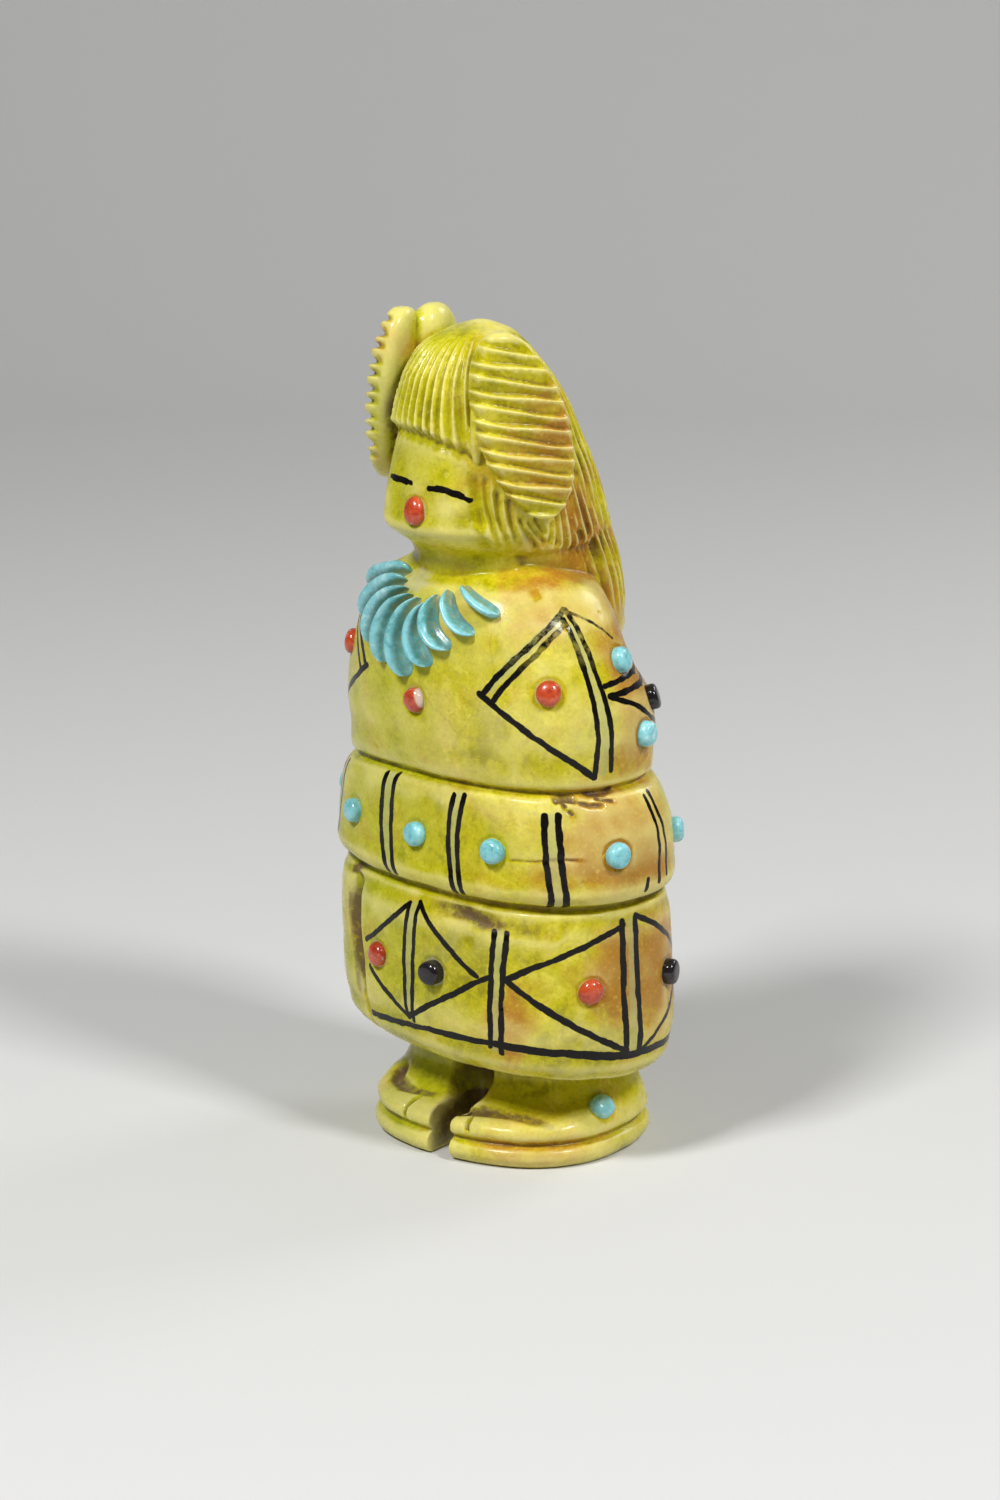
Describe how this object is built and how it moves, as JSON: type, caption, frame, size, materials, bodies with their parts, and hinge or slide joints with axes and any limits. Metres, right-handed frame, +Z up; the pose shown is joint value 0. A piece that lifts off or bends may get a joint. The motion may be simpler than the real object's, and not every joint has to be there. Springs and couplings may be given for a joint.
{
  "type": "stone fetish carving",
  "caption": "Small standing maiden carved in polished yellow-green stone, wrapped in a blanket, with inlaid beads and a fanned claw necklace.",
  "frame": {"origin": "on the flat underside of the feet, straight below the middle of the wrapped body, on the surface the carving stands on", "axes": "+X towards the figure's left hand, -Y the way the figure faces, +Z up"},
  "size_m": [0.042, 0.0283, 0.0885],
  "materials": {
    "stone": "polished yellow-green serpentine",
    "turquoise": "polished turquoise",
    "coral": "polished red coral",
    "jet": "polished black jet"
  },
  "bodies": {
    "root": {"body": "stone", "coral_back": "coral", "coral_chest": "coral", "coral_mouth": "coral", "coral_shoulder_left": "coral", "coral_shoulder_right": "coral", "coral_skirt_back": "coral", "coral_skirt_front": "coral", "coral_skirt_left": "coral", "coral_skirt_right": "coral", "jet_shoulder_left": "jet", "jet_shoulder_right": "jet", "jet_skirt_back": "jet", "jet_skirt_front": "jet", "jet_skirt_left": "jet", "jet_skirt_right": "jet", "necklace_claw_1": "turquoise", "necklace_claw_2": "turquoise", "necklace_claw_3": "turquoise", "necklace_claw_4": "turquoise", "necklace_claw_5": "turquoise", "necklace_claw_6": "turquoise", "necklace_claw_7": "turquoise", "necklace_claw_8": "turquoise", "necklace_claw_9": "turquoise", "turquoise_ankle_left": "turquoise", "turquoise_ankle_right": "turquoise", "turquoise_roll_1": "turquoise", "turquoise_roll_2": "turquoise", "turquoise_roll_3": "turquoise", "turquoise_roll_4": "turquoise", "turquoise_roll_5": "turquoise", "turquoise_roll_6": "turquoise", "turquoise_roll_7": "turquoise", "turquoise_roll_8": "turquoise", "turquoise_shoulder_left_lower": "turquoise", "turquoise_shoulder_left_upper": "turquoise", "turquoise_shoulder_right_lower": "turquoise", "turquoise_shoulder_right_upper": "turquoise"}
  },
  "joints": []
}
